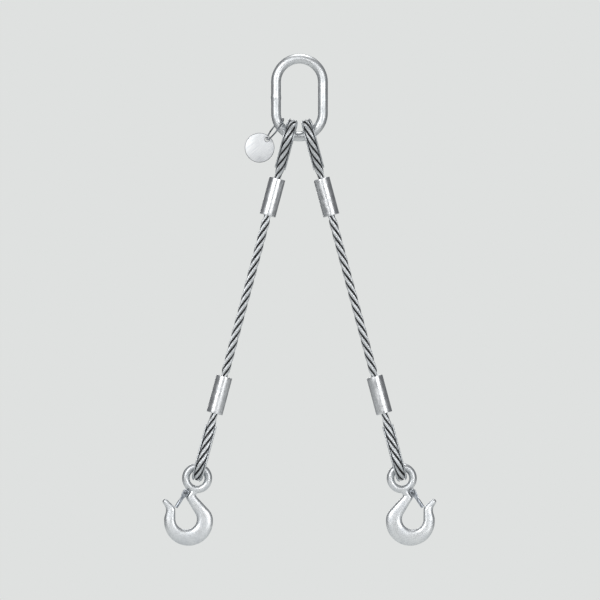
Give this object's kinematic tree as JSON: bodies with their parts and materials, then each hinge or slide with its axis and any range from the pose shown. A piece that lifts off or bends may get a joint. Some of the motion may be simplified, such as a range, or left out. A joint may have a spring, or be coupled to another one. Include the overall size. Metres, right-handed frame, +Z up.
{
  "type": "wire rope sling",
  "caption": "Two-leg wire rope lifting sling: oblong master link, thimble eyes, pressed ferrules, eye hooks with safety latches and an identification tag.",
  "frame": {"origin": "inner crown of the master link, where a crane's hook carries it", "axes": "+Z up, along the hanging sling; +X across the two legs; +Y away from the viewer, across the rope's eyes"},
  "size_m": [0.4436, 0.064, 0.7972],
  "materials": {
    "master_link": "hot-dip galvanised forged steel",
    "rope": "galvanised steel wire rope, laid strands of wires",
    "thimble": "zinc-plated pressed steel",
    "ferrule": "pressed aluminium",
    "hook": "zinc-plated forged steel",
    "latch": "zinc-plated folded sheet steel",
    "latch_pin": "bright steel rivet",
    "latch_spring": "spring steel wire",
    "tag": "plain aluminium disc, no marking",
    "tag_ring": "steel wire"
  },
  "bodies": {
    "master_link": {"master_link": "master_link"},
    "leg_left_upper": {"rope_upper_left": "rope", "top_thimble_left": "thimble", "top_ferrule_left": "ferrule"},
    "leg_left_lower": {"rope_lower_left": "rope", "bottom_thimble_left": "thimble", "bottom_ferrule_left": "ferrule"},
    "hook_left": {"hook_left": "hook", "latch_pin_left": "latch_pin", "latch_spring_left": "latch_spring"},
    "latch_left": {"latch_left": "latch"},
    "leg_right_upper": {"rope_upper_right": "rope", "top_thimble_right": "thimble", "top_ferrule_right": "ferrule"},
    "leg_right_lower": {"rope_lower_right": "rope", "bottom_thimble_right": "thimble", "bottom_ferrule_right": "ferrule"},
    "hook_right": {"hook_right": "hook", "latch_pin_right": "latch_pin", "latch_spring_right": "latch_spring"},
    "latch_right": {"latch_right": "latch"},
    "tag_ring": {"tag_ring": "tag_ring"},
    "tag": {"tag": "tag"}
  },
  "joints": [
    {"name": "leg_spread_left", "type": "hinge", "parent": "master_link", "child": "leg_left_upper", "pos_m": [0, 0, -0.08], "axis": [0, 1, 0], "range_deg": [-4, 45]},
    {"name": "rope_flex_left", "type": "hinge", "parent": "leg_left_upper", "child": "leg_left_lower", "pos_m": [-0.08667, -0.0056, -0.37642], "axis": [0.9659, 0, -0.2588], "range_deg": [-30, 30], "stiffness_Nm_per_rad": 3},
    {"name": "hook_swing_left", "type": "hinge", "parent": "leg_left_lower", "child": "hook_left", "pos_m": [-0.16578, 0, -0.67165], "axis": [0, 1, 0], "range_deg": [-75, 75]},
    {"name": "latch_turn_left", "type": "hinge", "parent": "hook_left", "child": "latch_left", "pos_m": [-0.18378, 0, -0.69445], "axis": [0, -1, 0], "range_deg": [0, 38], "stiffness_Nm_per_rad": 0.25, "springref_deg": -28.65, "deforming": ["latch_spring_left"]},
    {"name": "leg_spread_right", "type": "hinge", "parent": "master_link", "child": "leg_right_upper", "pos_m": [0, 0, -0.08], "axis": [0, -1, 0], "range_deg": [-4, 45]},
    {"name": "rope_flex_right", "type": "hinge", "parent": "leg_right_upper", "child": "leg_right_lower", "pos_m": [0.08667, -0.0056, -0.37642], "axis": [0.9659, 0, 0.2588], "range_deg": [-30, 30], "stiffness_Nm_per_rad": 3},
    {"name": "hook_swing_right", "type": "hinge", "parent": "leg_right_lower", "child": "hook_right", "pos_m": [0.16578, 0, -0.67165], "axis": [0, 1, 0], "range_deg": [-75, 75]},
    {"name": "latch_turn_right", "type": "hinge", "parent": "hook_right", "child": "latch_right", "pos_m": [0.18378, 0, -0.69445], "axis": [0, 1, 0], "range_deg": [0, 38], "stiffness_Nm_per_rad": 0.25, "springref_deg": -28.65, "deforming": ["latch_spring_right"]},
    {"name": "tag_ring_swing", "type": "hinge", "parent": "leg_left_upper", "child": "tag_ring", "pos_m": [-0.03333, 0, -0.09825], "axis": [-0.4804, 0, 0.8771], "range_deg": [-30, 30]},
    {"name": "tag_swing", "type": "hinge", "parent": "tag_ring", "child": "tag", "pos_m": [-0.0524, 0, -0.123], "axis": [0, 1, 0], "range_deg": [-15, 45]}
  ]
}
